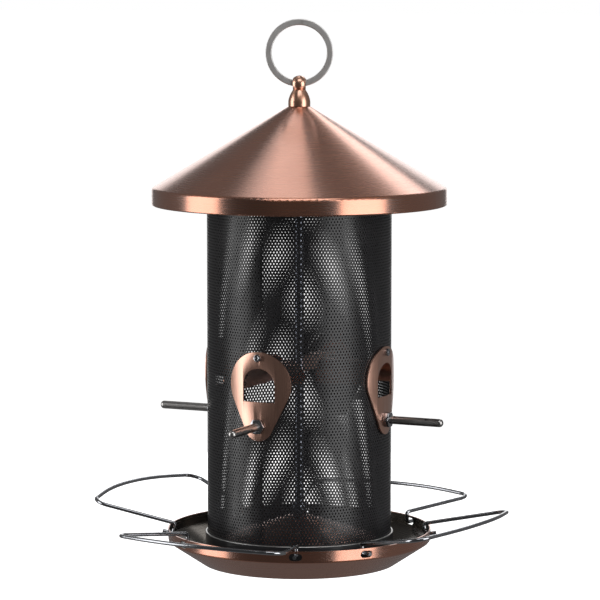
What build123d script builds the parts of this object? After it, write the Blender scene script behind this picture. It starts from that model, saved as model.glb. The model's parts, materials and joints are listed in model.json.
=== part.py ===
from build123d import *
import os
from math import cos, hypot, radians, sin, sqrt

# Hanging seed feeder: a perforated seed tube with four feeding ports, between a dished tray
# with four wire perching loops and a conical roof that a finial and a split ring hang it by.
# Millimetres, +Z up. The origin is under the middle of the tray, on the plane it can stand on.
# Azimuths are in degrees from -Y towards +X, and the first port faces -Y.

os.makedirs("parts", exist_ok=True)

# ---- Driving dimensions ----

# Seed tube
tube_outer_radius = 60.0
tube_wall = 0.8
tube_top_height = 250.0

# Tray, spun from sheet, with a raised middle that hides the nut under it
tray_sheet = 0.8
tray_floor_margin = 2.1
tray_trough = 25.7
tray_rim_height = 22.1
tray_band_height = 7.4
tray_band_lean = 0.3
tray_boss_radius = 22.0
tray_boss_slope = 5.0
tray_boss_height = 8.0
tray_turn = -6.0
tray_bend_radius = 1.6

# Collar around the foot of the tube
collar_wall = 1.2
collar_lip_width = 6.0
collar_lip = 1.2
collar_top_height = 20.5
collar_chamfer = 0.4

# Cone that sends the seed outwards
cone_sheet = 0.6
cone_top_height = 30.5
cone_top_radius = 6.5
cone_foot_height = 13.3
cone_fit = 0.3

# Roof, spun from sheet
roof_sheet = 0.8
roof_overhang = 35.3
roof_skirt_drop = 16.7
roof_skirt_depth = 10.9
roof_rise = 52.5
roof_top_radius = 6.9
roof_bend_radius = 2.5
roof_hem = 1.6
roof_hem_radius = 0.8
roof_hole_fit = 0.3

# Band and bridge at the top of the tube
band_wall = 1.0
band_height = 16.0
band_stand = 2.0
bridge_width = 16.0
bridge_sheet = 1.5
bridge_bend_radius = 3.0
bridge_ear_height = 11.0
bridge_drop = 2.5
rivet_drop = 7.0
rivet_radius = 1.6
rivet_head_radius = 3.0
rivet_head = 1.0

# Central rod and its nuts
stud_radius = 2.5
rod_shoulder = 0.5
stud_end_height = 1.5
stud_chamfer = 0.5
nut_flats = 8.0
nut_height = 4.0
nut_washer_radius = 9.0
nut_washer = 1.0
cone_nut_height = 8.2
cone_nut_flats = 9.0

# Finial
finial_base_overhang = 0.25
finial_base_step = 3.2
finial_neck_radius = 4.1
finial_flare_bulge = 0.5
finial_ball_radius = 5.5
finial_ball_height = 14.2
finial_bore_depth = 7.3
finial_bore_fit = 0.05
finial_turn = 25.0

# Split ring, wound from flattened wire
ring_wire_width = 4.0
ring_wire_thickness = 1.5
ring_wire_round = 0.6
ring_outer_radius = 21.7
ring_lift = 0.3
ring_turns = 1.96
ring_turn_gap = 0.08
ring_hole_fit = 1.08

# Feeding ports
port_count = 4
port_height = 123.2
plate_edge = 3.7
plate_tail_radius = 9.5
plate_tail_drop = 26.3
plate_thickness = 1.2
plate_gap = 0.3
opening_width = 22.1
opening_height = 21.4
opening_sill_drop = 11.0
screw_gap = 6.9
screw_radius = 1.25
screw_head_radius = 2.4
screw_head = 1.7
screw_slot = 0.7
screw_slot_margin = 0.95
screw_slot_depth = 0.8
screw_nut_flats = 5.0
screw_nut = 2.0
thread_stick_out = 1.2

# Hoods that keep the seed back from the ports
hood_sheet = 0.8
hood_depth = 13.6
hood_corner_gap = 5.15
hood_flange = 3.0
hood_flange_sheet = 1.0
hood_tongue_width = 8.0
mesh_cut_fit = 0.25

# Perches
perch_radius = 2.65
perch_length = 36.3
perch_tip_flat = 0.25
perch_stud_radius = 2.0
perch_nut_flats = 9.0
perch_nut = 3.2
perch_inner_nut_flats = 7.0
perch_inner_nut = 3.2
perch_hole_fit = 0.1

# Wire perching loops
loop_wire_radius = 1.25
loop_rest_tilts = (6.0, 11.0, 5.5, 14.5)
loop_hole_half_span = 42.0
loop_leg_rise = 7.0
loop_corner_reach = 49.6
loop_corner_half_span = 61.8
loop_front_reach = 61.7
loop_front_half_span = 21.4
loop_corner_radius = 9.2
loop_front_radius = 138.0
hook_inset = 3.4
hook_poke = 3.6
hook_bend_radius = 2.1
tray_slot_length = 8.4
tray_slot_fit = 1.0
tray_slot_drop = 3.7

# ---- Derived sizes ----

tube_inner_radius = tube_outer_radius - tube_wall
tray_base_radius = tube_outer_radius + collar_wall + tray_floor_margin
tray_rim_radius = tube_outer_radius + tray_trough
tray_slot_height = 2 * (loop_wire_radius + tray_slot_fit)
tray_floor = tray_sheet
tube_foot_height = tray_floor + collar_lip
plate_inner_radius = tube_outer_radius + plate_gap
plate_outer_radius = plate_inner_radius + plate_thickness
opening_half_width = opening_width / 2
sill_height = port_height - opening_sill_drop
arch_spring_height = sill_height + opening_height - opening_half_width
perch_height = port_height - plate_tail_drop
screw_height = sill_height + opening_height + screw_gap
plate_head_radius = screw_height - port_height + plate_edge
hood_half_width = opening_half_width + hood_sheet
hood_inner_reach = hood_half_width + hood_corner_gap
roof_radius = tube_outer_radius + roof_overhang
roof_skirt_height = tube_top_height - roof_skirt_drop
roof_crease_height = roof_skirt_height + roof_skirt_depth
roof_top_height = roof_crease_height + roof_rise
roof_underside_height = roof_top_height - roof_sheet
band_foot_height = tube_top_height + band_stand - band_height
bridge_height = tube_top_height - bridge_drop
rivet_height = bridge_height - rivet_drop
loop_pivot_height = tray_rim_height - tray_slot_drop
loop_chord_reach = sqrt(tray_rim_radius**2 - loop_hole_half_span**2)
finial_ball_centre = roof_top_height + finial_ball_height
finial_bore_radius = stud_radius + finial_bore_fit
finial_base_radius = roof_top_radius + finial_base_overhang
ring_radius = ring_outer_radius - ring_wire_width / 2
ring_pitch = ring_wire_thickness + ring_turn_gap
ring_hole_radius = hypot(ring_wire_width / 2, ring_pitch) + ring_hole_fit
rod_radius = stud_radius + rod_shoulder
rod_shoulder_height = cone_top_height + cone_nut_height
stud_top_height = roof_top_height + finial_bore_depth - thread_stick_out / 2


def outward(azimuth):
    """Unit vector that points away from the axis at an azimuth."""
    return Vector(sin(radians(azimuth)), -cos(radians(azimuth)), 0)


def tangent(azimuth):
    """Unit vector along the tube's surface at an azimuth."""
    return Vector(cos(radians(azimuth)), sin(radians(azimuth)), 0)


def radial_plane(azimuth, height, distance=0.0):
    """Plane that faces outwards, with its y direction up and its origin beside the axis."""
    origin = outward(azimuth) * distance + Vector(0, 0, height)
    return Plane(origin=origin, x_dir=tangent(azimuth), z_dir=outward(azimuth))


def flat_behind(radius, half_width):
    """Distance from the axis of a flat that meets the inside of a round wall at its edges."""
    return sqrt(radius**2 - half_width**2)


def nut_face(wall_radius, flats):
    """Distance from the axis of a hexagon nut's face, seated inside a round wall."""
    return flat_behind(wall_radius, flats / sqrt(3))


def save_piece(builder, name):
    """Label a finished piece and write it under its own name."""
    builder.part.label = name
    export_step(builder.part, f"parts/{name}.step")


def bent_sheet(points, bend_radius, sheet, side):
    """Section of a bent sheet, from the line along one of its faces."""
    with BuildSketch() as section:
        with BuildLine():
            FilletPolyline(*points, radius=bend_radius)
            offset(amount=sheet, side=side)
        make_face()
    return section.sketch


def arch(half_width, foot_height, spring_height):
    """Round-topped opening, in heights above the plane's origin."""
    left = (-half_width, spring_height)
    right = (half_width, spring_height)
    with BuildSketch() as outline:
        with BuildLine():
            Polyline(left, (-half_width, foot_height), (half_width, foot_height), right)
            ThreePointArc(right, (0, spring_height + half_width), left)
        make_face()
    return outline.sketch


def teardrop():
    """Port plate's outline: a round head and a smaller round tail, joined by straight sides."""
    with BuildSketch() as outline:
        with Locations((0, port_height)):
            Circle(plate_head_radius)
        with Locations((0, perch_height)):
            Circle(plate_tail_radius)
        make_hull()
    return outline.sketch


def annulus(outer_radius, inner_radius):
    """Draw a ring around the axis."""
    Circle(outer_radius)
    Circle(inner_radius, mode=Mode.SUBTRACT)


port_azimuths = [index * 360 / port_count for index in range(port_count)]
loop_azimuths = [tray_turn + azimuth for azimuth in port_azimuths]

# ---- Tray and foot ----

with BuildPart() as tray:
    with BuildSketch(Plane.XZ):
        tray_line = [
            (stud_radius, tray_boss_height),
            (tray_boss_radius, tray_boss_height),
            (tray_boss_radius + tray_boss_slope, 0),
            (tray_base_radius, 0),
            (tray_rim_radius - tray_band_lean, tray_rim_height - tray_band_height),
            (tray_rim_radius, tray_rim_height),
        ]
        add(bent_sheet(tray_line, tray_bend_radius, tray_sheet, Side.LEFT))
    revolve(axis=Axis.Z)
    for azimuth in loop_azimuths:
        for side in (-1, 1):
            centre = outward(azimuth) * loop_chord_reach + tangent(azimuth) * side * loop_hole_half_span
            facing = centre.normalized()
            slot_origin = centre + Vector(0, 0, loop_pivot_height)
            slot_plane = Plane(origin=slot_origin, x_dir=facing.cross(Vector(0, 0, -1)), z_dir=facing)
            with BuildSketch(slot_plane):
                SlotOverall(tray_slot_length, tray_slot_height)
            extrude(amount=2 * tray_sheet, both=True, mode=Mode.SUBTRACT)
save_piece(tray, "tray")

with BuildPart() as base_collar:
    with BuildSketch(Plane.XY.offset(tray_floor)):
        annulus(tube_outer_radius + collar_wall, tube_outer_radius)
    extrude(amount=collar_top_height - tray_floor)
    with BuildSketch(Plane.XY.offset(tray_floor)):
        annulus(tube_outer_radius + collar_wall, tube_outer_radius - collar_lip_width)
    extrude(amount=collar_lip)
    chamfer(base_collar.edges().group_by(Axis.Z)[-1].sort_by(SortBy.RADIUS)[-1], collar_chamfer)
save_piece(base_collar, "base_collar")

cone_foot_radius = tube_inner_radius - cone_fit
with BuildPart() as seed_cone:
    with BuildSketch(Plane.XZ):
        cone_line = [
            (stud_radius, cone_top_height),
            (cone_top_radius, cone_top_height),
            (cone_foot_radius, cone_foot_height),
            (cone_foot_radius, tube_foot_height),
        ]
        add(bent_sheet(cone_line, tray_bend_radius, cone_sheet, Side.RIGHT))
    revolve(axis=Axis.Z)
save_piece(seed_cone, "seed_cone")

with BuildPart() as tray_washer:
    with BuildSketch(Plane.XY.offset(tray_boss_height - nut_washer)):
        annulus(nut_washer_radius, stud_radius)
    extrude(amount=nut_washer)
save_piece(tray_washer, "tray_washer")

# ---- Seed tube ----

with BuildPart() as mesh_tube:
    with BuildSketch(Plane.XY.offset(tube_foot_height)):
        annulus(tube_outer_radius, tube_inner_radius)
    extrude(amount=tube_top_height - tube_foot_height)
    for azimuth in port_azimuths:
        with BuildSketch(radial_plane(azimuth, 0)):
            add(arch(hood_half_width + mesh_cut_fit, sill_height - mesh_cut_fit, arch_spring_height))
            with Locations((0, perch_height)):
                Circle(perch_stud_radius + perch_hole_fit)
            with Locations((0, screw_height)):
                Circle(screw_radius + perch_hole_fit)
        extrude(amount=2 * tube_outer_radius, mode=Mode.SUBTRACT)
    with BuildSketch(Plane.YZ.offset(-tube_outer_radius - tube_wall)):
        with Locations((0, rivet_height)):
            Circle(rivet_radius)
    extrude(amount=2 * (tube_outer_radius + tube_wall), mode=Mode.SUBTRACT)
save_piece(mesh_tube, "mesh_tube")

with BuildPart() as tube_top_band:
    with BuildSketch(Plane.XY.offset(band_foot_height)):
        annulus(tube_outer_radius + band_wall, tube_outer_radius)
    extrude(amount=band_height)
    with BuildSketch(Plane.YZ.offset(-tube_outer_radius - 2 * band_wall)):
        with Locations((0, rivet_height)):
            Circle(rivet_radius)
    extrude(amount=2 * (tube_outer_radius + 2 * band_wall), mode=Mode.SUBTRACT)
save_piece(tube_top_band, "tube_top_band")

ear_face = flat_behind(tube_inner_radius, bridge_width / 2)
with BuildPart() as top_bridge:
    with BuildSketch(Plane.XZ.offset(-bridge_width / 2)):
        bridge_line = [
            (-ear_face, bridge_height - bridge_ear_height),
            (-ear_face, bridge_height),
            (ear_face, bridge_height),
            (ear_face, bridge_height - bridge_ear_height),
        ]
        add(bent_sheet(bridge_line, bridge_bend_radius, bridge_sheet, Side.RIGHT))
    extrude(amount=bridge_width)
    with BuildSketch(Plane.XY.offset(bridge_height)):
        Circle(stud_radius)
    extrude(amount=-2 * bridge_sheet, mode=Mode.SUBTRACT)
    with BuildSketch(Plane.YZ.offset(-tube_outer_radius)):
        with Locations((0, rivet_height)):
            Circle(rivet_radius)
    extrude(amount=2 * tube_outer_radius, mode=Mode.SUBTRACT)
save_piece(top_bridge, "top_bridge")

rivet_inner_face = ear_face - bridge_sheet
rivet_outer_face = tube_outer_radius + band_wall
with BuildPart() as bridge_rivets:
    for azimuth in (90, 270):
        with BuildSketch(radial_plane(azimuth, rivet_height, rivet_inner_face)):
            Circle(rivet_radius)
        extrude(amount=rivet_outer_face - rivet_inner_face)
        with BuildSketch(radial_plane(azimuth, rivet_height, rivet_inner_face)):
            Circle(rivet_head_radius)
        extrude(amount=-rivet_head)
        with BuildSketch(radial_plane(azimuth, rivet_height, rivet_outer_face)):
            Circle(rivet_head_radius)
        extrude(amount=rivet_head)
save_piece(bridge_rivets, "bridge_rivets")

# ---- Central rod and nuts ----

rod_top_height = bridge_height - bridge_sheet - nut_height
with BuildPart() as center_rod:
    with BuildSketch(Plane.XY.offset(stud_end_height)):
        Circle(stud_radius)
    extrude(amount=stud_top_height - stud_end_height)
    with BuildSketch(Plane.XY.offset(rod_shoulder_height)):
        Circle(rod_radius)
    extrude(amount=rod_top_height - rod_shoulder_height)
    chamfer(center_rod.edges().group_by(Axis.Z)[-1], stud_chamfer)
    chamfer(center_rod.edges().group_by(Axis.Z)[0], stud_chamfer)
save_piece(center_rod, "center_rod")

nut_feet = (
    tray_boss_height - nut_washer - nut_height,
    rod_top_height,
    bridge_height,
    roof_underside_height - nut_height,
)
with BuildPart() as rod_nuts:
    for foot in nut_feet:
        with BuildSketch(Plane.XY.offset(foot)):
            RegularPolygon(nut_flats / 2, 6, major_radius=False)
            Circle(stud_radius, mode=Mode.SUBTRACT)
        extrude(amount=nut_height)
save_piece(rod_nuts, "rod_nuts")

with BuildPart() as cone_nut:
    with BuildSketch(Plane.XY.offset(cone_top_height)):
        RegularPolygon(cone_nut_flats / 2, 6, major_radius=False)
        Circle(stud_radius, mode=Mode.SUBTRACT)
    extrude(amount=cone_nut_height)
save_piece(cone_nut, "cone_nut")

# ---- Feeding ports ----

hood_foot = sill_height + opening_height - hood_depth
flange_inner_radius = tube_inner_radius - hood_flange_sheet
perch_foot = plate_outer_radius + perch_nut
perch_nut_face = nut_face(tube_inner_radius, perch_inner_nut_flats)
stud_foot = perch_nut_face - perch_inner_nut - thread_stick_out
for index, azimuth in enumerate(port_azimuths, start=1):
    with BuildPart() as port_plate:
        with BuildSketch(radial_plane(azimuth, 0)):
            add(teardrop())
            add(arch(opening_half_width, sill_height, arch_spring_height), mode=Mode.SUBTRACT)
            with Locations((0, perch_height)):
                Circle(perch_stud_radius, mode=Mode.SUBTRACT)
            with Locations((0, screw_height)):
                Circle(screw_radius, mode=Mode.SUBTRACT)
        extrude(amount=plate_outer_radius + plate_thickness)
        with BuildSketch(Plane.XY):
            annulus(plate_outer_radius, plate_inner_radius)
        extrude(amount=tube_top_height, mode=Mode.INTERSECT)
    save_piece(port_plate, f"port_plate_{index}")

    with BuildPart() as port_hood:
        with BuildSketch(radial_plane(azimuth, 0, hood_inner_reach)):
            add(arch(hood_half_width + hood_flange, hood_foot, arch_spring_height))
            with Locations((0, (arch_spring_height + screw_height + hood_flange) / 2)):
                Rectangle(hood_tongue_width, screw_height + hood_flange - arch_spring_height)
        extrude(amount=plate_inner_radius)
        with BuildSketch(Plane.XY):
            annulus(tube_inner_radius, flange_inner_radius)
        extrude(amount=tube_top_height, mode=Mode.INTERSECT)
        with BuildSketch(radial_plane(azimuth, 0, hood_inner_reach)):
            add(arch(hood_half_width, hood_foot, arch_spring_height))
        extrude(amount=plate_inner_radius - hood_inner_reach)
        with BuildSketch(Plane.XY):
            Circle(plate_inner_radius)
        extrude(amount=tube_top_height, mode=Mode.INTERSECT)
        with BuildSketch(radial_plane(azimuth, 0)):
            add(arch(opening_half_width, hood_foot - hood_sheet, arch_spring_height))
            with Locations((0, screw_height)):
                Circle(screw_radius)
        extrude(amount=2 * tube_outer_radius, mode=Mode.SUBTRACT)
    save_piece(port_hood, f"port_hood_{index}")

    with BuildPart() as perch:
        with BuildSketch(radial_plane(azimuth, perch_height, stud_foot)):
            Circle(perch_stud_radius)
        extrude(amount=perch_foot - stud_foot)
        with BuildSketch(radial_plane(azimuth, perch_height, perch_foot)):
            Circle(perch_radius)
        extrude(amount=perch_length)
        tip = perch.faces().sort_by(Axis((0, 0, 0), outward(azimuth)))[-1]
        fillet(tip.edges(), perch_radius - perch_tip_flat)
    save_piece(perch, f"perch_{index}")

with BuildPart() as perch_nuts:
    for azimuth in port_azimuths:
        with BuildSketch(radial_plane(azimuth, perch_height, plate_outer_radius)):
            RegularPolygon(perch_nut_flats / 2, 6, major_radius=False)
            Circle(perch_stud_radius, mode=Mode.SUBTRACT)
        extrude(amount=perch_nut)
save_piece(perch_nuts, "perch_nuts")

with BuildPart() as perch_lock_nuts:
    for azimuth in port_azimuths:
        with BuildSketch(radial_plane(azimuth, perch_height, perch_nut_face)):
            RegularPolygon(perch_inner_nut_flats / 2, 6, major_radius=False)
            Circle(perch_stud_radius, mode=Mode.SUBTRACT)
        extrude(amount=-perch_inner_nut)
save_piece(perch_lock_nuts, "perch_lock_nuts")

screw_nut_face = nut_face(flange_inner_radius, screw_nut_flats)
screw_slot_length = 2 * (screw_head_radius - screw_slot_margin)
shank_foot = screw_nut_face - screw_nut - thread_stick_out
with BuildPart() as plate_screws:
    for azimuth in port_azimuths:
        with BuildSketch(radial_plane(azimuth, screw_height, shank_foot)):
            Circle(screw_radius)
        extrude(amount=plate_outer_radius - shank_foot)
        with BuildSketch(radial_plane(azimuth, screw_height, plate_outer_radius)):
            Circle(screw_head_radius)
        extrude(amount=screw_head)
        with BuildSketch(radial_plane(azimuth, screw_height, plate_outer_radius + screw_head)):
            Rectangle(screw_slot_length, screw_slot)
            Rectangle(screw_slot, screw_slot_length)
        extrude(amount=-screw_slot_depth, mode=Mode.SUBTRACT)
save_piece(plate_screws, "plate_screws")

with BuildPart() as plate_screw_nuts:
    for azimuth in port_azimuths:
        with BuildSketch(radial_plane(azimuth, screw_height, screw_nut_face)):
            RegularPolygon(screw_nut_flats / 2, 6, major_radius=False)
            Circle(screw_radius, mode=Mode.SUBTRACT)
        extrude(amount=-screw_nut)
save_piece(plate_screw_nuts, "plate_screw_nuts")

# ---- Roof, finial and ring ----

with BuildPart() as roof:
    with BuildSketch(Plane.XZ):
        roof_line = [
            (roof_radius - roof_hem, roof_skirt_height),
            (roof_radius, roof_skirt_height),
            (roof_radius, roof_crease_height),
            (roof_top_radius, roof_top_height),
            (stud_radius + roof_hole_fit, roof_top_height),
        ]
        roof_bends = [roof_hem_radius, roof_bend_radius, roof_bend_radius]
        add(bent_sheet(roof_line, roof_bends, roof_sheet, Side.LEFT))
    revolve(axis=Axis.Z)
save_piece(roof, "roof")

hole_axis = tangent(finial_turn)
ball_foot = finial_ball_centre - sqrt(finial_ball_radius**2 - finial_neck_radius**2)
with BuildPart() as finial:
    with BuildSketch(Plane.XZ):
        with BuildLine():
            base_line = Line((0, roof_top_height), (finial_base_radius, roof_top_height))
            step_line = Line(base_line @ 1, (finial_base_radius, roof_top_height + finial_base_step))
            flare_top = (finial_neck_radius, ball_foot)
            flare_middle = (
                (finial_base_radius + finial_neck_radius) / 2 + finial_flare_bulge,
                (roof_top_height + finial_base_step + ball_foot) / 2,
            )
            ThreePointArc(step_line @ 1, flare_middle, flare_top)
            ThreePointArc(
                flare_top,
                (finial_ball_radius, finial_ball_centre),
                (0, finial_ball_centre + finial_ball_radius),
            )
            Line((0, finial_ball_centre + finial_ball_radius), (0, roof_top_height))
        make_face()
    revolve(axis=Axis.Z)
    with BuildSketch(Plane.XY.offset(roof_top_height)):
        Circle(finial_bore_radius)
    extrude(amount=finial_bore_depth, mode=Mode.SUBTRACT)
    hole_plane = Plane(origin=(0, 0, finial_ball_centre), x_dir=(0, 0, 1), z_dir=hole_axis)
    with BuildSketch(hole_plane):
        Circle(ring_hole_radius)
    extrude(amount=2 * finial_ball_radius, both=True, mode=Mode.SUBTRACT)
save_piece(finial, "finial")

ring_width = ring_pitch * ring_turns
ring_axis = outward(finial_turn)
ring_centre = Vector(0, 0, finial_ball_centre + ring_lift + ring_radius)
ring_start = ring_centre - ring_axis * (ring_width / 2)
ring_coil = Helix(ring_pitch, ring_width, ring_radius, ring_start, ring_axis)
ring_start_angle = 360 * (2 - ring_turns) / 2
ring_first = Vector(0, 0, 1).rotate(Axis((0, 0, 0), ring_axis), ring_start_angle)
coil_turn = (ring_coil @ 0 - ring_start).get_signed_angle(ring_first, ring_axis)
ring_path = ring_coil.rotate(Axis(ring_start, ring_axis), coil_turn)
with BuildPart() as hanging_ring:
    with BuildSketch(Plane(origin=ring_path @ 0, x_dir=ring_first, z_dir=ring_path % 0)):
        RectangleRounded(ring_wire_width, ring_wire_thickness, ring_wire_round)
    sweep(path=ring_path, is_frenet=True)
save_piece(hanging_ring, "hanging_ring")

# ---- Wire perching loops ----


def hook_points(side):
    """Tip, inner bottom and inner top of a loop's hook, on one side, in the loop's own frame."""
    spread = side * (loop_corner_half_span - loop_hole_half_span)
    run = Vector(loop_corner_reach, spread, 0).normalized()
    hole = Vector(0, side * loop_hole_half_span, 0)
    tip = hole + run * hook_poke
    inside = hole - run * hook_inset
    return [tuple(tip), tuple(inside), (inside.X, inside.Y, loop_leg_rise)]


for index, azimuth in enumerate(loop_azimuths, start=1):
    tilt = radians(loop_rest_tilts[index - 1])
    pivot = outward(azimuth) * loop_chord_reach + Vector(0, 0, loop_pivot_height)
    reach_direction = outward(azimuth) * cos(tilt) + Vector(0, 0, sin(tilt))
    loop_plane = Plane(origin=pivot, x_dir=reach_direction, z_dir=reach_direction.cross(tangent(azimuth)))
    outline = [
        *hook_points(-1),
        (loop_corner_reach, -loop_corner_half_span, loop_leg_rise),
        (loop_front_reach, -loop_front_half_span, loop_leg_rise),
        (loop_front_reach, loop_front_half_span, loop_leg_rise),
        (loop_corner_reach, loop_corner_half_span, loop_leg_rise),
        *reversed(hook_points(1)),
    ]
    bends = [hook_bend_radius] * 2 + [loop_corner_radius, loop_front_radius]
    with BuildPart() as wire_loop:
        with BuildLine(loop_plane):
            loop_path = FilletPolyline(*outline, radius=bends + bends[::-1])
        with BuildSketch(Plane(origin=loop_path @ 0, z_dir=loop_path % 0)):
            Circle(loop_wire_radius)
        sweep(path=loop_path)
    save_piece(wire_loop, f"wire_loop_{index}")
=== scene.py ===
"""Looks of a hanging seed feeder: perforated tube, copper roof and tray, plated wire and nuts."""

import json
import logging
import math
from dataclasses import dataclass, field, replace
from enum import Enum

import bmesh
import bpy
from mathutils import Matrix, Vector


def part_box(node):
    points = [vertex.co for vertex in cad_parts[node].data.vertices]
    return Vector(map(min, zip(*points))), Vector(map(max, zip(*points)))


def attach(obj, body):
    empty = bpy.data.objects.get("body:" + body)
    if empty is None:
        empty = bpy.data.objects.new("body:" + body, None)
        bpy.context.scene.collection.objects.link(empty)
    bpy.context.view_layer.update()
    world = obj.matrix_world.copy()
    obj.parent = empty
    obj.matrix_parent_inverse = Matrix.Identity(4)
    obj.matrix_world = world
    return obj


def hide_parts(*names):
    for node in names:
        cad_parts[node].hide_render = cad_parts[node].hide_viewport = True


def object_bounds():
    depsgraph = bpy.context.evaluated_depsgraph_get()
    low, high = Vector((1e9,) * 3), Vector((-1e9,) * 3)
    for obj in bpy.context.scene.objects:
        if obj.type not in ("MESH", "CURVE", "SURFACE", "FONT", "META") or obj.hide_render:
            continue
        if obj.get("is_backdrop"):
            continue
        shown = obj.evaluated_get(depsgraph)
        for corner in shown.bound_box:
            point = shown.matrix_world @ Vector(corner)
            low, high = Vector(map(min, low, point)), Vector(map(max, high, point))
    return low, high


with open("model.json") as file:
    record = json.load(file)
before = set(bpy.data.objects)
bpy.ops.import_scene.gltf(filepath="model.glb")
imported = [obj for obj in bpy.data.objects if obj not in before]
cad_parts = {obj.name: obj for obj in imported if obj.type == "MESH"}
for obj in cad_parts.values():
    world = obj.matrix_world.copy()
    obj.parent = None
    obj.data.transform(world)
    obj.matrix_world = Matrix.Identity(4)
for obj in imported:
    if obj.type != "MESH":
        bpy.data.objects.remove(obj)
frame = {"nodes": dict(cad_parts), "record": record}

LOG = logging.getLogger("feeder")
MM = 0.001
FEEDER = "feeder"
PORT_COUNT = 4
PORT_PITCH = 2 * math.pi / PORT_COUNT


def linear(code: str) -> tuple[float, float, float, float]:
    """Turn an sRGB hex colour into linear values.

    Args:
        code: Six hex digits, as in "b87333".

    Returns:
        Linear red, green and blue, with an alpha of one.
    """
    parts = [int(code[place:place + 2], 16) / 255 for place in (0, 2, 4)]
    red, green, blue = (v / 12.92 if v <= 0.04045 else ((v + 0.055) / 1.055) ** 2.4 for v in parts)
    return red, green, blue, 1.0


def add_node(tree: bpy.types.NodeTree, kind: str, settings: dict | None = None,
             inputs: dict | None = None) -> bpy.types.Node:
    """Add a node to a tree, with its settings, input values and links.

    Args:
        tree: The node tree that the node goes into.
        kind: The node's type name.
        settings: Values of the node's own properties.
        inputs: Value or source socket for each input, by name or place.

    Returns:
        The new node.
    """
    node = tree.nodes.new(kind)
    for name, value in (settings or {}).items():
        setattr(node, name, value)
    for place, value in (inputs or {}).items():
        if isinstance(value, bpy.types.NodeSocket):
            tree.links.new(value, node.inputs[place])
        else:
            node.inputs[place].default_value = value
    return node


class Slot(Enum):
    """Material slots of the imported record."""

    COPPER = "copper_plate"
    BLACK = "black_mesh"
    CHROME = "chrome"
    ZINC = "zinc_steel"


class Lay(Enum):
    """Way that a surface was worked: the sign of height in its distance along the brush's path."""

    SPUN_CONE = -1.0
    SPUN_DISH = 1.0


def new_finish(name: str) -> tuple[bpy.types.Material, bpy.types.NodeTree, bpy.types.Node]:
    """Start a material with a shader that is wired to its output.

    Args:
        name: The material's name.

    Returns:
        The material, its tree and its Principled shader.
    """
    material = bpy.data.materials.new(name)
    material.use_nodes = True
    tree = material.node_tree
    tree.nodes.clear()
    shader = add_node(tree, "ShaderNodeBsdfPrincipled")
    add_node(tree, "ShaderNodeOutputMaterial", inputs={"Surface": shader.outputs["BSDF"]})
    return material, tree, shader


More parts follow.
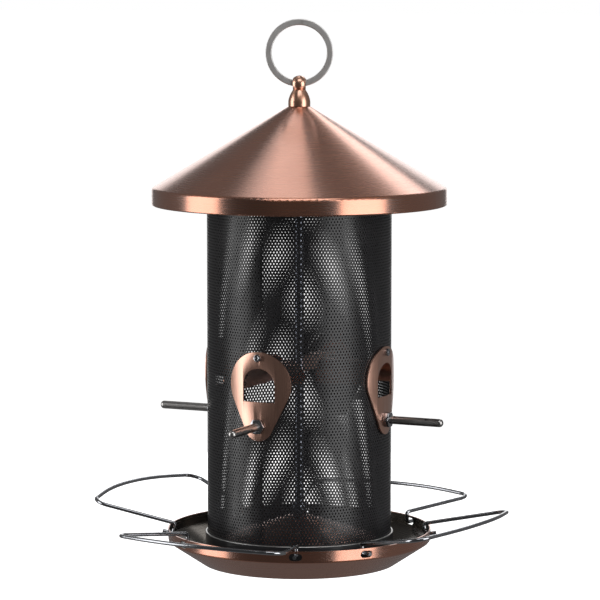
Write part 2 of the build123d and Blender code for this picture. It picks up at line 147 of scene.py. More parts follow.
@dataclass(frozen=True)
class SpunCopper:
    """Copper-plated steel, spun on a lathe, satin brushed and lacquered.

    Its fine rings stretch every reflection along the slope, so light lies on it in wedges.
    """

    name: str
    lay: Lay
    bright: str = "d98f6e"
    deep: str = "c27550"
    # Painted shade: a flat dark grey with no clear coat on a dish's inner side below the given
    # height. It stands in for the dark reflection of the black tube there.
    painted_shade_tone: str = "5f5a54"
    painted_shade_top_mm: float = 0.0
    ring_pitch_mm: float = 0.9
    mottle_mm: float = 26.0
    roughness: float = 0.26
    anisotropy: float = 0.85
    ring_depth_mm: float = 0.012
    lacquer_ior: float = 2.1
    lacquer_roughness: float = 0.24
    ring_wander: float = 1.5
    smoother: float = 0.04
    rougher: float = 0.05
    turned_in: float = 0.35

    def build(self) -> bpy.types.Material:
        """Return the finished material."""
        material, tree, shader = new_finish(self.name)
        place = add_node(tree, "ShaderNodeTexCoord").outputs["Object"]
        parts = add_node(tree, "ShaderNodeSeparateXYZ", inputs={0: place})
        flat = add_node(tree, "ShaderNodeCombineXYZ",
                        inputs={"X": parts.outputs["X"], "Y": parts.outputs["Y"]})
        reach = add_node(tree, "ShaderNodeVectorMath", {"operation": "LENGTH"},
                         {0: flat.outputs[0]})
        around = add_node(tree, "ShaderNodeVectorMath", {"operation": "NORMALIZE"},
                          {0: flat.outputs[0]})
        slope = add_node(tree, "ShaderNodeMath", {"operation": "MULTIPLY_ADD"},
                         {0: parts.outputs["Z"], 1: self.lay.value, 2: reach.outputs["Value"]})
        # The rings are drawn coarser than a brush's real 0.1 mm lines, so that they show.
        along = add_node(tree, "ShaderNodeMath", {"operation": "DIVIDE"},
                         {0: slope.outputs[0], 1: self.ring_pitch_mm * MM})
        ring_place = add_node(tree, "ShaderNodeVectorMath", {"operation": "MULTIPLY_ADD"},
                              {0: around.outputs[0], 1: (self.ring_wander, self.ring_wander, 0.0)})
        lift = add_node(tree, "ShaderNodeCombineXYZ", inputs={"Z": along.outputs[0]})
        tree.links.new(lift.outputs[0], ring_place.inputs[2])
        rings = add_node(tree, "ShaderNodeTexNoise", inputs={
            "Vector": ring_place.outputs[0], "Scale": 1.0, "Detail": 3.0, "Roughness": 0.6})
        mottle = add_node(tree, "ShaderNodeTexNoise", inputs={
            "Vector": place, "Scale": 1 / (self.mottle_mm * MM), "Detail": 2.0})
        tone = add_node(tree, "ShaderNodeMix", {"data_type": "RGBA"}, {
            "Factor": mottle.outputs["Fac"], "A": linear(self.deep), "B": linear(self.bright)})
        mean = add_node(tree, "ShaderNodeMapRange", inputs={
            "Value": rings.outputs["Fac"], "To Min": self.roughness - self.smoother,
            "To Max": self.roughness + self.rougher})
        bump = add_node(tree, "ShaderNodeBump", inputs={
            "Height": rings.outputs["Fac"], "Distance": self.ring_depth_mm * MM, "Strength": 0.5})
        turning = add_node(tree, "ShaderNodeTangent", {"direction_type": "RADIAL", "axis": "Z"})
        # Painted shade: the dish's inner side below its rim takes the flat dark grey and drops the
        # clear coat.
        painted_shade = self.painted_shade_mask(tree, parts, around)
        shade_painted_tone = add_node(tree, "ShaderNodeMix", {"data_type": "RGBA"}, {
            "Factor": painted_shade, "A": tone.outputs["Result"], "B": linear(self.painted_shade_tone)})
        lacquer_outside_painted_shade = add_node(tree, "ShaderNodeMath", {"operation": "SUBTRACT"}, {0: 1.0, 1: painted_shade})
        tree.links.new(shade_painted_tone.outputs["Result"], shader.inputs["Base Color"])
        tree.links.new(lacquer_outside_painted_shade.outputs[0], shader.inputs["Coat Weight"])
        tree.links.new(mean.outputs["Result"], shader.inputs["Roughness"])
        tree.links.new(bump.outputs["Normal"], shader.inputs["Normal"])
        tree.links.new(turning.outputs["Tangent"], shader.inputs["Tangent"])
        shader.inputs["Metallic"].default_value = 1.0
        shader.inputs["Anisotropic"].default_value = self.anisotropy
        shader.inputs["Anisotropic Rotation"].default_value = 0.25
        shader.inputs["Coat IOR"].default_value = self.lacquer_ior
        shader.inputs["Coat Roughness"].default_value = self.lacquer_roughness
        return material

    def painted_shade_mask(self, tree: bpy.types.NodeTree, parts: bpy.types.Node,
                    around: bpy.types.Node) -> bpy.types.NodeSocket:
        """Find the dish's inner side below its rim, where painted shade goes: a dull dark grey with
        no clear coat.

        Args:
            tree: The material's tree.
            parts: Node with the separate coordinates.
            around: Node with the outward direction.

        Returns:
            Socket that is one on the inner side and zero elsewhere.
        """
        facing = add_node(tree, "ShaderNodeTexCoord").outputs["Normal"]
        outward = add_node(tree, "ShaderNodeVectorMath", {"operation": "DOT_PRODUCT"},
                           {0: facing, 1: around.outputs[0]})
        upward = add_node(tree, "ShaderNodeSeparateXYZ", inputs={0: facing})
        inward = add_node(tree, "ShaderNodeMath", {"operation": "SUBTRACT"},
                          {0: upward.outputs["Z"], 1: outward.outputs["Value"]})
        turned_in = add_node(tree, "ShaderNodeMath", {"operation": "GREATER_THAN"},
                             {0: inward.outputs[0], 1: self.turned_in})
        below_rim = add_node(tree, "ShaderNodeMath", {"operation": "LESS_THAN"},
                             {0: parts.outputs["Z"], 1: self.painted_shade_top_mm * MM})
        both = add_node(tree, "ShaderNodeMath", {"operation": "MULTIPLY"},
                        {0: turned_in.outputs[0], 1: below_rim.outputs[0]})
        return both.outputs[0]


@dataclass(frozen=True)
class BrushedCopper:
    """Copper-plated sheet, pressed to shape and brushed upright.

    Its short scratches run up and down, and soften what it mirrors.
    """

    name: str = "copper_plate_brushed"
    bright: str = "f0b497"
    deep: str = "cf8b6b"
    scratch_mm: float = 0.35
    scratch_length_mm: float = 14.0
    scratch_depth_mm: float = 0.01
    roughness: float = 0.3
    smoother: float = 0.06
    rougher: float = 0.08
    lacquer_ior: float = 2.4
    lacquer_roughness: float = 0.3

    def build(self) -> bpy.types.Material:
        """Return the finished material."""
        material, tree, shader = new_finish(self.name)
        place = add_node(tree, "ShaderNodeTexCoord").outputs["Object"]
        across, length = 1 / (self.scratch_mm * MM), 1 / (self.scratch_length_mm * MM)
        stretched = add_node(tree, "ShaderNodeMapping", inputs={
            "Vector": place, "Scale": (across, across, length)})
        scratches = add_node(tree, "ShaderNodeTexNoise", inputs={
            "Vector": stretched.outputs[0], "Scale": 1.0, "Detail": 2.0})
        tone = add_node(tree, "ShaderNodeMix", {"data_type": "RGBA"}, {
            "Factor": scratches.outputs["Fac"], "A": linear(self.deep), "B": linear(self.bright)})
        rough = add_node(tree, "ShaderNodeMapRange", inputs={
            "Value": scratches.outputs["Fac"], "To Min": self.roughness - self.smoother,
            "To Max": self.roughness + self.rougher})
        bump = add_node(tree, "ShaderNodeBump", inputs={
            "Height": scratches.outputs["Fac"], "Distance": self.scratch_depth_mm * MM,
            "Strength": 0.6})
        tree.links.new(tone.outputs["Result"], shader.inputs["Base Color"])
        tree.links.new(rough.outputs["Result"], shader.inputs["Roughness"])
        tree.links.new(bump.outputs["Normal"], shader.inputs["Normal"])
        shader.inputs["Metallic"].default_value = 1.0
        shader.inputs["Coat Weight"].default_value = 1.0
        shader.inputs["Coat IOR"].default_value = self.lacquer_ior
        shader.inputs["Coat Roughness"].default_value = self.lacquer_roughness
        return material


@dataclass(frozen=True)
class PowderCoat:
    """Black powder coat on steel, semi-gloss.

    The powder flows out to a faint orange peel that breaks up its highlights. On the collar its top
    edge is light grey metal instead of coat, a painted highlight for the thin bright line along
    that edge.
    """

    name: str = "powder_coat_black"
    colour: str = "222224"
    dust_and_highlight: str = "353436"
    # Painted highlight: light grey metal on the top edge above the given height, for a thin bright
    # line. The default height leaves it off.
    edge: str = "c9c8c6"
    highlight_edge_from_mm: float = 1000.0
    peel_mm: float = 0.8
    peel_depth_mm: float = 0.02
    dust_mm: float = 18.0
    roughness: float = 0.3
    smoother: float = 0.08
    rougher: float = 0.12

    def build(self) -> bpy.types.Material:
        """Return the finished material."""
        material, tree, shader = new_finish(self.name)
        place = add_node(tree, "ShaderNodeTexCoord").outputs["Object"]
        peel = add_node(tree, "ShaderNodeTexNoise", inputs={
            "Vector": place, "Scale": 1 / (self.peel_mm * MM), "Detail": 1.0})
        dust = add_node(tree, "ShaderNodeTexNoise", inputs={
            "Vector": place, "Scale": 1 / (self.dust_mm * MM), "Detail": 4.0})
        tone = add_node(tree, "ShaderNodeMix", {"data_type": "RGBA"}, {
            "Factor": dust.outputs["Fac"], "A": linear(self.colour), "B": linear(self.dust_and_highlight)})
        rough = add_node(tree, "ShaderNodeMapRange", inputs={
            "Value": dust.outputs["Fac"], "To Min": self.roughness - self.smoother,
            "To Max": self.roughness + self.rougher})
        bump = add_node(tree, "ShaderNodeBump", inputs={
            "Height": peel.outputs["Fac"], "Distance": self.peel_depth_mm * MM,
            "Strength": 0.6})
        # Painted highlight: above that height the coat turns to light grey metal.
        height = add_node(tree, "ShaderNodeSeparateXYZ", inputs={0: place}).outputs["Z"]
        bare = add_node(tree, "ShaderNodeMath", {"operation": "GREATER_THAN"},
                        {0: height, 1: self.highlight_edge_from_mm * MM})
        highlight_edged = add_node(tree, "ShaderNodeMix", {"data_type": "RGBA"}, {
            "Factor": bare.outputs[0], "A": tone.outputs["Result"], "B": linear(self.edge)})
        tree.links.new(bare.outputs[0], shader.inputs["Metallic"])
        tree.links.new(highlight_edged.outputs["Result"], shader.inputs["Base Color"])
        tree.links.new(rough.outputs["Result"], shader.inputs["Roughness"])
        tree.links.new(bump.outputs["Normal"], shader.inputs["Normal"])
        return material


@dataclass(frozen=True)
class PlatedSteel:
    """Plated steel wire, rod and fasteners: chrome, satin nickel or bright zinc.

    Chrome mirrors the room in narrow lines, nickel softens them, and zinc has a bluish bloom.
    """

    name: str
    bright: str
    deep: str
    roughness: float
    spread: float
    bloom_mm: float
    bump_mm: float

    def build(self) -> bpy.types.Material:
        """Return the finished material."""
        material, tree, shader = new_finish(self.name)
        place = add_node(tree, "ShaderNodeTexCoord").outputs["Object"]
        bloom = add_node(tree, "ShaderNodeTexNoise", inputs={
            "Vector": place, "Scale": 1 / (self.bloom_mm * MM), "Detail": 3.0})
        tone = add_node(tree, "ShaderNodeMix", {"data_type": "RGBA"}, {
            "Factor": bloom.outputs["Fac"], "A": linear(self.deep), "B": linear(self.bright)})
        rough = add_node(tree, "ShaderNodeMapRange", inputs={
            "Value": bloom.outputs["Fac"], "To Min": self.roughness,
            "To Max": self.roughness + self.spread})
        bump = add_node(tree, "ShaderNodeBump", inputs={
            "Height": bloom.outputs["Fac"], "Distance": self.bump_mm * MM, "Strength": 0.4})
        tree.links.new(tone.outputs["Result"], shader.inputs["Base Color"])
        tree.links.new(rough.outputs["Result"], shader.inputs["Roughness"])
        tree.links.new(bump.outputs["Normal"], shader.inputs["Normal"])
        shader.inputs["Metallic"].default_value = 1.0
        return material


@dataclass(frozen=True)
class StudioPaper:
    """Matt white paper for the floor, lit from within so that it stays pale all over."""

    name: str = "studio_paper"
    colour: str = "f4f4f4"
    glow: float = 0.93

    def build(self) -> bpy.types.Material:
        """Return the finished material."""
        material, _, shader = new_finish(self.name)
        shader.inputs["Base Color"].default_value = linear(self.colour)
        shader.inputs["Roughness"].default_value = 1.0
        shader.inputs["Emission Color"].default_value = (1.0, 1.0, 1.0, 1.0)
        shader.inputs["Emission Strength"].default_value = self.glow
        return material


def finish_piece(piece: bpy.types.Object, body: str, slot: Slot, *nodes: str) -> None:
    """Tie a finished piece to its body, and hide the CAD nodes that it stands for.

    Args:
        piece: The piece's object.
        body: The CAD body that it moves with.
        slot: The record's material slot; not used.
        nodes: CAD nodes that it replaces.
    """
    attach(piece, body)
    if nodes:
        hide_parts(*nodes)
    LOG.info("%s: %d faces on %s", piece.name, len(piece.data.polygons), body)


def dress(node: str, material: bpy.types.Material) -> None:
    """Give a carried-over CAD node its material."""
    data = frame["nodes"][node].data
    data.materials.clear()
    data.materials.append(material)
    LOG.info("%s: dressed in %s", node, material.name)


def body_of(node: str) -> str:
    """Return the name of the body that a CAD node belongs to."""
    return next(name for name, members in frame["record"]["behaviour"]["bodies"].items()
                if node in members)


@dataclass
class EasedPiece:
    """A CAD node's shape with its sharp edges eased, as a press, a die or a tumbler leaves them."""

    node: str
    name: str
    slot: Slot
    material: bpy.types.Material
    ease_mm: float = 0.2
    sharp_degrees: float = 38.0
    flat_degrees: float = 0.5
    weld_mm: float = 0.001

    def build(self) -> bpy.types.Object:
        """Make the eased copy and tie it to the node's body.

        Returns:
            The new piece's object.
        """
        shape = bmesh.new()
        shape.from_mesh(frame["nodes"][self.node].data)
        bmesh.ops.remove_doubles(shape, verts=shape.verts, dist=self.weld_mm * MM)
        flat = math.radians(self.flat_degrees)
        bmesh.ops.dissolve_limit(shape, angle_limit=flat, verts=shape.verts, edges=shape.edges)
        sharp = math.radians(self.sharp_degrees)
        edges = [edge for edge in shape.edges
                 if len(edge.link_faces) == 2 and edge.calc_face_angle() > sharp]
        bmesh.ops.bevel(shape, geom=edges, offset=self.ease_mm * MM, offset_type="OFFSET",
                        segments=2, profile=0.5, affect="EDGES", clamp_overlap=True)
        data = bpy.data.meshes.new(self.name)
        shape.to_mesh(data)
        shape.free()
        data.shade_smooth()
        data.set_sharp_from_angle(angle=sharp)
        data.materials.append(self.material)
        piece = bpy.data.objects.new(self.name, data)
        bpy.context.scene.collection.objects.link(piece)
        finish_piece(piece, body_of(self.node), self.slot, self.node)
        return piece


@dataclass
class SeedTube:
    """Perforated sheet rolled into a tube, with its edges lapped in a narrow seam."""

    material: bpy.types.Material
    columns: int = 174
    panels: int = 6
    seam_columns: int = 3
    seam_azimuth_degrees: float = -1.2
    seam_shift: float = 0.42
    open_width: float = 0.44
    open_height: float = 0.6
    sheet_mm: float = 0.4
    lap_mm: float = 0.32
    opening_half_width_mm: float = 11.85
    opening_sill_mm: float = 112.2
    opening_spring_mm: float = 122.55
    perch_stud_mm: float = 2.0
    screw_mm: float = 1.25
    rivet_mm: float = 1.6
    seam_lift_mm: float = 0.15
    weld_mm: float = 0.01
    radius: float = field(init=False)
    foot: float = field(init=False)
    top: float = field(init=False)
    pitch: float = field(init=False)
    row_pitch: float = field(init=False)
    perch_height: float = field(init=False)
    screw_height: float = field(init=False)
    rivet_height: float = field(init=False)

    def __post_init__(self) -> None:
        """Work out the tube's radius and the spacing of its holes from the frame."""
        low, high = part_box("mesh_tube")
        self.radius = (high.x - low.x) / 2
        self.foot, self.top = low.z, high.z
        self.pitch = 2 * math.pi * self.radius / self.columns
        self.row_pitch = self.pitch * math.sqrt(3) / 2
        self.perch_height = self.middle_height("perch_1")
        self.screw_height = self.middle_height("plate_screws")
        self.rivet_height = self.middle_height("bridge_rivets")

    @staticmethod
    def middle_height(node: str) -> float:
        """Return the height of the middle of a CAD node."""
        low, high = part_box(node)
        return (low.z + high.z) / 2

    def is_cut(self, arc: float, height: float) -> bool:
        """Say whether a hole's cell is cut away for a port, a perch, a screw or a rivet.

        Args:
            arc: Distance round the tube from the first port's middle.
            height: Height of the cell's middle.

        Returns:
            True where the sheet is open.
        """
        quarter = PORT_PITCH * self.radius
        across = (arc + quarter / 2) % quarter - quarter / 2
        margin = self.pitch / 2
        half_width = self.opening_half_width_mm * MM + margin
        spring = self.opening_spring_mm * MM
        if self.opening_sill_mm * MM - margin < height < spring and abs(across) < half_width:
            return True
        rounds = (
            (spring, half_width),
            (self.perch_height, self.perch_stud_mm * MM + margin),
            (self.screw_height, self.screw_mm * MM + margin),
            (self.rivet_height, self.rivet_mm * MM + margin),
        )
        return any(math.hypot(across, height - middle) < reach for middle, reach in rounds)

    def cell_middles(self, first: float, columns: int) -> list[tuple[float, float, float]]:
        """List the middles of the cells in one panel, on the sheet laid flat.

        Args:
            first: Column number of the panel's first column.
            columns: How many columns the panel has.

        Returns:
            Points with the distance round the tube, the height and zero.
        """
        rows = int((self.top - self.foot - self.row_pitch) / self.row_pitch)
        points = []
        for row in range(rows):
            height = self.foot + (row + 2 / 3) * self.row_pitch
            for column in range(columns):
                arc = (first + column + row % 2 / 2) * self.pitch
                if not self.is_cut(arc, height):
                    points.append((arc, height, 0.0))
        return points

    def sheet_tree(self) -> bpy.types.NodeTree:
        """Make the node tree that sets a holed cell on each point and rolls the sheet up.

        Returns:
            The geometry node tree.
        """
        tree = bpy.data.node_groups.new("perforated_sheet", "GeometryNodeTree")
        sockets = tree.interface
        sockets.new_socket("Geometry", in_out="INPUT", socket_type="NodeSocketGeometry")
        for name in ("Hole Pitch", "Row Pitch", "Open Width", "Open Height", "Tube Radius"):
            sockets.new_socket(name, in_out="INPUT", socket_type="NodeSocketFloat")
        sockets.new_socket("Material", in_out="INPUT", socket_type="NodeSocketMaterial")
        sockets.new_socket("Geometry", in_out="OUTPUT", socket_type="NodeSocketGeometry")
        given = add_node(tree, "NodeGroupInput").outputs
        disc = add_node(tree, "GeometryNodeMeshCircle", {"fill_type": "NGON"},
                        {"Vertices": 6, "Radius": 1.0})
        tall = add_node(tree, "ShaderNodeMath", {"operation": "MULTIPLY"},
                        {0: given["Row Pitch"], 1: 2 / 3})
        wide = add_node(tree, "ShaderNodeMath", {"operation": "MULTIPLY"},
                        {0: given["Hole Pitch"], 1: 1 / math.sqrt(3)})
        stretch = add_node(tree, "ShaderNodeCombineXYZ", inputs={
            "X": tall.outputs[0], "Y": wide.outputs[0], "Z": 1.0})
        cell = add_node(tree, "GeometryNodeTransform", inputs={
            "Geometry": disc.outputs["Mesh"], "Rotation": (0.0, 0.0, math.pi / 2),
            "Scale": stretch.outputs[0]})
        inner = add_node(tree, "GeometryNodeExtrudeMesh", {"mode": "FACES"}, {
            "Mesh": cell.outputs["Geometry"], "Offset Scale": 0.0, "Individual": True})
        spot = add_node(tree, "GeometryNodeInputPosition").outputs[0]
        shares = add_node(tree, "ShaderNodeCombineXYZ", inputs={
            "X": given["Open Width"], "Y": given["Open Height"], "Z": 1.0})
        shrunk = add_node(tree, "ShaderNodeVectorMath", {"operation": "MULTIPLY"},
                          {0: spot, 1: shares.outputs[0]})
        hole = add_node(tree, "GeometryNodeSetPosition", inputs={
            "Geometry": inner.outputs["Mesh"], "Selection": inner.outputs["Top"],
            "Position": shrunk.outputs[0]})
        holed = add_node(tree, "GeometryNodeDeleteGeometry", {"domain": "FACE"}, {
            "Geometry": hole.outputs["Geometry"], "Selection": inner.outputs["Top"]})
        spread = add_node(tree, "GeometryNodeInstanceOnPoints", inputs={
            "Points": given["Geometry"], "Instance": holed.outputs["Geometry"]})
        real = add_node(tree, "GeometryNodeRealizeInstances",
                        inputs={"Geometry": spread.outputs["Instances"]})
        joined = add_node(tree, "GeometryNodeMergeByDistance", inputs={
            "Geometry": real.outputs["Geometry"], "Distance": self.weld_mm * MM})
        place = add_node(tree, "ShaderNodeSeparateXYZ", inputs={
            0: add_node(tree, "GeometryNodeInputPosition").outputs[0]})
        angle = add_node(tree, "ShaderNodeMath", {"operation": "DIVIDE"},
                         {0: place.outputs["X"], 1: given["Tube Radius"]})
        sine = add_node(tree, "ShaderNodeMath", {"operation": "SINE"}, {0: angle.outputs[0]})
        cosine = add_node(tree, "ShaderNodeMath", {"operation": "COSINE"}, {0: angle.outputs[0]})
        right = add_node(tree, "ShaderNodeMath", {"operation": "MULTIPLY"},
                         {0: sine.outputs[0], 1: given["Tube Radius"]})
        back = add_node(tree, "ShaderNodeMath", {"operation": "MULTIPLY"},
                        {0: cosine.outputs[0], 1: given["Tube Radius"]})
        front = add_node(tree, "ShaderNodeMath", {"operation": "MULTIPLY"},
                         {0: back.outputs[0], 1: -1.0})
        rolled_place = add_node(tree, "ShaderNodeCombineXYZ", inputs={
            "X": right.outputs[0], "Y": front.outputs[0], "Z": place.outputs["Y"]})
        rolled = add_node(tree, "GeometryNodeSetPosition", inputs={
            "Geometry": joined.outputs["Geometry"], "Position": rolled_place.outputs[0]})
        dressed = add_node(tree, "GeometryNodeSetMaterial", inputs={
            "Geometry": rolled.outputs["Geometry"], "Material": given["Material"]})
        add_node(tree, "NodeGroupOutput", inputs={0: dressed.outputs["Geometry"]})
        return tree

    def make_panel(self, name: str, tree: bpy.types.NodeTree, points: list, radius: float) -> None:
        """Make one panel of the sheet as a plain mesh.

        Args:
            name: The piece's name.
            tree: The sheet's node tree.
            points: Middles of its cells.
            radius: Outer radius that it is rolled to.
        """
        seed = bpy.data.meshes.new(name + "_points")
        seed.from_pydata(points, [], [])
        source = bpy.data.objects.new(name + "_source", seed)
        bpy.context.scene.collection.objects.link(source)
        sheet = source.modifiers.new("sheet", "NODES")
        sheet.node_group = tree
        values = {"Hole Pitch": self.pitch, "Row Pitch": self.row_pitch,
                  "Open Width": self.open_width, "Open Height": self.open_height,
                  "Tube Radius": radius, "Material": self.material}
        for item in tree.interface.items_tree:
            if item.in_out == "INPUT" and item.name in values:
                sheet[item.identifier] = values[item.name]
        wall = source.modifiers.new("wall", "SOLIDIFY")
        wall.thickness = self.sheet_mm * MM
        wall.offset = -1.0
        ready = source.evaluated_get(bpy.context.evaluated_depsgraph_get())
        data = bpy.data.meshes.new_from_object(ready)
        data.name = name
        bpy.data.objects.remove(source)
        piece = bpy.data.objects.new(name, data)
        bpy.context.scene.collection.objects.link(piece)
        finish_piece(piece, FEEDER, Slot.BLACK, "mesh_tube")

    def build(self) -> None:
        """Make the tube's panels and its seam."""
        tree = self.sheet_tree()
        start = round(math.radians(self.seam_azimuth_degrees) * self.radius / self.pitch)
        share = self.columns // self.panels
        inner_radius = self.radius - self.lap_mm * MM
        for number in range(self.panels):
            points = self.cell_middles(start + number * share, share)
            self.make_panel(f"mesh_panel_{number + 1}", tree, points, inner_radius)
        seam_start = start + self.seam_shift - self.seam_columns / 2
        points = self.cell_middles(seam_start, self.seam_columns)
        self.make_panel("mesh_seam", tree, points, self.radius + self.seam_lift_mm * MM)


@dataclass
class Feeder:
    """The whole feeder's finishes, and which piece wears which."""

    roof_copper: SpunCopper = SpunCopper("copper_plate_spun_roof", Lay.SPUN_CONE)
    # The tray gets painted shade, a flat dark grey, on its inner side below 21.7 mm.
    dish_copper: SpunCopper = SpunCopper("copper_plate_spun_tray", Lay.SPUN_DISH,
                                         painted_shade_top_mm=21.7)
    turned_copper: SpunCopper = SpunCopper("copper_plate_turned_finial", Lay.SPUN_CONE,
                                           bright="f2b898", deep="e09e7c",
                                           roughness=0.32, anisotropy=0.4)
    sheet_copper: BrushedCopper = BrushedCopper()
    coat: PowderCoat = PowderCoat()
    # The collar's coat, with a painted highlight of light grey metal along its top edge.
    highlight_edge_coat: PowderCoat = PowderCoat("powder_coat_black_painted_highlight_edge")
    highlight_edge_depth_mm: float = 0.45
    nut_ease_mm: float = 0.15
    press_ease_mm: float = 0.2
    plate_ease_mm: float = 0.35
    chrome: PlatedSteel = PlatedSteel(
        "chrome_plate_wire", "c4c5c9", "a3a5aa",
        roughness=0.13, spread=0.08, bloom_mm=6.0, bump_mm=0.01)
    satin: PlatedSteel = PlatedSteel(
        "nickel_plate_satin", "d0cecc", "b5b2b0",
        roughness=0.24, spread=0.1, bloom_mm=5.0, bump_mm=0.002)
    ring_plate: PlatedSteel = PlatedSteel(
        "nickel_plate_ring", "f0eeec", "dad8d6",
        roughness=0.45, spread=0.1, bloom_mm=5.0, bump_mm=0.002)
    zinc: PlatedSteel = PlatedSteel(
        "zinc_plate_bright", "b9bdc8", "8d93a3",
        roughness=0.2, spread=0.15, bloom_mm=4.0, bump_mm=0.02)

    def build(self) -> None:
        """Make the new pieces and dress the carried-over ones."""
        chrome, zinc, coat = self.chrome.build(), self.zinc.build(), self.coat.build()
        satin = self.satin.build()
        collar_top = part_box("base_collar")[1].z / MM
        # Painted highlight: the collar's top 0.45 mm turns to light grey metal, for the bright line
        # along its edge.
        dust_and_highlight = replace(self.highlight_edge_coat, highlight_edge_from_mm=collar_top - self.highlight_edge_depth_mm).build()
        cone, dish, sheet = (self.roof_copper.build(), self.dish_copper.build(),
                             self.sheet_copper.build())
        SeedTube(coat).build()
        dress("roof", cone)
        dress("finial", self.turned_copper.build())
        dress("tray", dish)
        dress("seed_cone", cone)
        dress("hanging_ring", self.ring_plate.build())
        dress("center_rod", zinc)
        for node in ("rod_nuts", "cone_nut", "tray_washer", "bridge_rivets", "perch_lock_nuts",
                     "plate_screw_nuts"):
            EasedPiece(node, f"{node}_eased", Slot.ZINC, zinc, self.nut_ease_mm).build()
        EasedPiece("base_collar", "base_collar_eased", Slot.BLACK, dust_and_highlight,
                   self.press_ease_mm).build()
        for node in ("tube_top_band", "top_bridge"):
            EasedPiece(node, f"{node}_eased", Slot.BLACK, coat, self.press_ease_mm).build()
        for node in ("perch_nuts", "plate_screws"):
            EasedPiece(node, f"{node}_eased", Slot.CHROME, chrome, self.press_ease_mm).build()
        for number in range(1, PORT_COUNT + 1):
            EasedPiece(f"port_plate_{number}", f"port_plate_{number}_eased", Slot.COPPER, sheet,
                       ease_mm=self.plate_ease_mm).build()
            dress(f"port_hood_{number}", sheet)
            dress(f"perch_{number}", satin)
            dress(f"wire_loop_{number}", chrome)


@dataclass(frozen=True)
class LightPanel:
    """A soft panel that faces the feeder, placed by its direction from the camera's side."""

    name: str
    azimuth: float
    elevation: float
    distance: float
    width: float
    height: float
    radiance: float
    colour: str = "ffffff"

    def build(self, camera_azimuth: float, aim: Vector) -> None:
        """Place the panel.

        Args:
            camera_azimuth: Azimuth of the camera, in degrees.
            aim: The point that the panel faces.
        """
        turn = math.radians(camera_azimuth + self.azimuth)
        rise = math.radians(self.elevation)
        away = Vector((math.sin(turn) * math.cos(rise), -math.cos(turn) * math.cos(rise),
                       math.sin(rise)))
        data = bpy.data.lights.new(self.name, "AREA")
        data.shape = "RECTANGLE"
        data.size, data.size_y = self.width, self.height
        data.energy = self.radiance * math.pi * self.width * self.height
        data.color = linear(self.colour)[:3]
        panel = bpy.data.objects.new(self.name, data)
        panel.location = aim + away * self.distance
        panel.rotation_euler = away.to_track_quat("Z", "Y").to_euler()
        panel.visible_camera = False
        bpy.context.scene.collection.objects.link(panel)


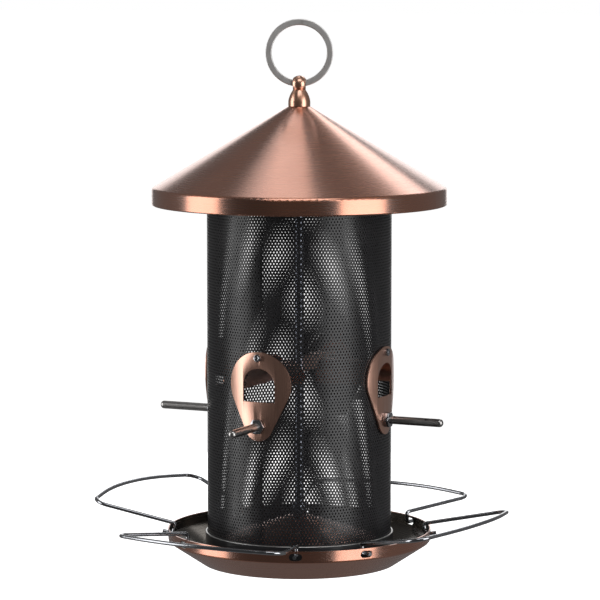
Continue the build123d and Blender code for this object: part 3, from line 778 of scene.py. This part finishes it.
@dataclass
class Studio:
    """Camera, floor, room and soft panels."""

    camera_azimuth: float = 25.0
    camera_distance: float = 2.0609
    camera_height: float = 0.4002
    camera_pitch: float = -6.341
    lens: float = 192.14
    shift: float = 0.00117
    floor_drop: float = 0.35
    floor_size: float = 60.0
    side_glow: float = 0.14
    front_glow: float = 0.05
    glow_fades_over: float = 0.5
    # Azimuth, elevation, distance, width, height and radiance of each panel.
    panels: tuple[LightPanel, ...] = (
        LightPanel("panel_right", 50, 4, 2.2, 1.5, 2.2, 2.6),
        LightPanel("panel_left", -80, 4, 2.2, 1.25, 2.2, 2.4),
        LightPanel("panel_top", -168, 66, 1.8, 0.5, 0.7, 1.5),
        LightPanel("panel_back_right", 159, 37, 2.2, 0.8, 0.55, 2.3),
        LightPanel("panel_back", 180, 4, 2.6, 1.7, 1.6, 1.1),
        LightPanel("panel_over", 8, 58, 2.2, 1.6, 0.9, 2.2),
    )

    def build(self) -> None:
        """Make the camera, the floor, the room and the panels."""
        low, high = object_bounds()
        aim = Vector((0.0, 0.0, (Vector(low).z + Vector(high).z) / 2))
        turn = math.radians(self.camera_azimuth)
        lens = bpy.data.cameras.new("camera")
        lens.lens = self.lens
        lens.shift_x = self.shift
        lens.clip_end = 200.0
        camera = bpy.data.objects.new("camera", lens)
        camera.location = (math.sin(turn) * self.camera_distance,
                           -math.cos(turn) * self.camera_distance, self.camera_height)
        camera.rotation_euler = (math.radians(90 + self.camera_pitch), 0.0, turn)
        bpy.context.scene.collection.objects.link(camera)
        bpy.context.scene.camera = camera
        for panel in self.panels:
            panel.build(self.camera_azimuth, aim)
        self.build_floor()
        self.build_room(turn)
        bpy.context.scene.view_settings.view_transform = "Standard"

    def build_floor(self) -> None:
        """Lay a plain pale floor well below the hanging feeder."""
        half = self.floor_size / 2
        data = bpy.data.meshes.new("floor")
        corners = [(-half, -half), (half, -half), (half, half), (-half, half)]
        data.from_pydata([(x, y, -self.floor_drop) for x, y in corners], [], [(0, 1, 2, 3)])
        data.materials.append(StudioPaper().build())
        floor = bpy.data.objects.new("floor", data)
        floor.visible_glossy = False
        floor.visible_diffuse = False
        bpy.context.scene.collection.objects.link(floor)
        floor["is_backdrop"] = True

    def build_room(self, turn: float) -> None:
        """Light the room dimly, darker in front, and show it white to the camera.

        Args:
            turn: Azimuth of the camera, in radians.
        """
        world = bpy.data.worlds.new("room")
        bpy.context.scene.world = world
        world.use_nodes = True
        tree = world.node_tree
        tree.nodes.clear()
        way = add_node(tree, "ShaderNodeTexCoord").outputs["Generated"]
        ahead = add_node(tree, "ShaderNodeVectorMath", {"operation": "DOT_PRODUCT"},
                         {0: way, 1: (math.sin(turn), -math.cos(turn), 0.0)})
        glow = add_node(tree, "ShaderNodeMapRange", {"interpolation_type": "SMOOTHSTEP"}, {
            "Value": ahead.outputs["Value"], "From Min": 0.0, "From Max": self.glow_fades_over,
            "To Min": self.side_glow, "To Max": self.front_glow})
        room = add_node(tree, "ShaderNodeBackground", inputs={"Strength": glow.outputs["Result"]})
        white = add_node(tree, "ShaderNodeBackground", inputs={"Strength": 1.0})
        white.inputs["Color"].default_value = (1.0, 1.0, 1.0, 1.0)
        seen = add_node(tree, "ShaderNodeLightPath").outputs["Is Camera Ray"]
        mixed = add_node(tree, "ShaderNodeMixShader", inputs={
            0: seen, 1: room.outputs[0], 2: white.outputs[0]})
        room.inputs["Color"].default_value = (1.0, 1.0, 1.0, 1.0)
        add_node(tree, "ShaderNodeOutputWorld", inputs={"Surface": mixed.outputs[0]})


def main() -> None:
    """Build the feeder and its studio."""
    logging.basicConfig(level=logging.INFO, format="%(name)s %(message)s")
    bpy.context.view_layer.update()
    Studio().build()
    Feeder().build()
    LOG.info("sizes written")


if __name__ == "__main__":
    main()
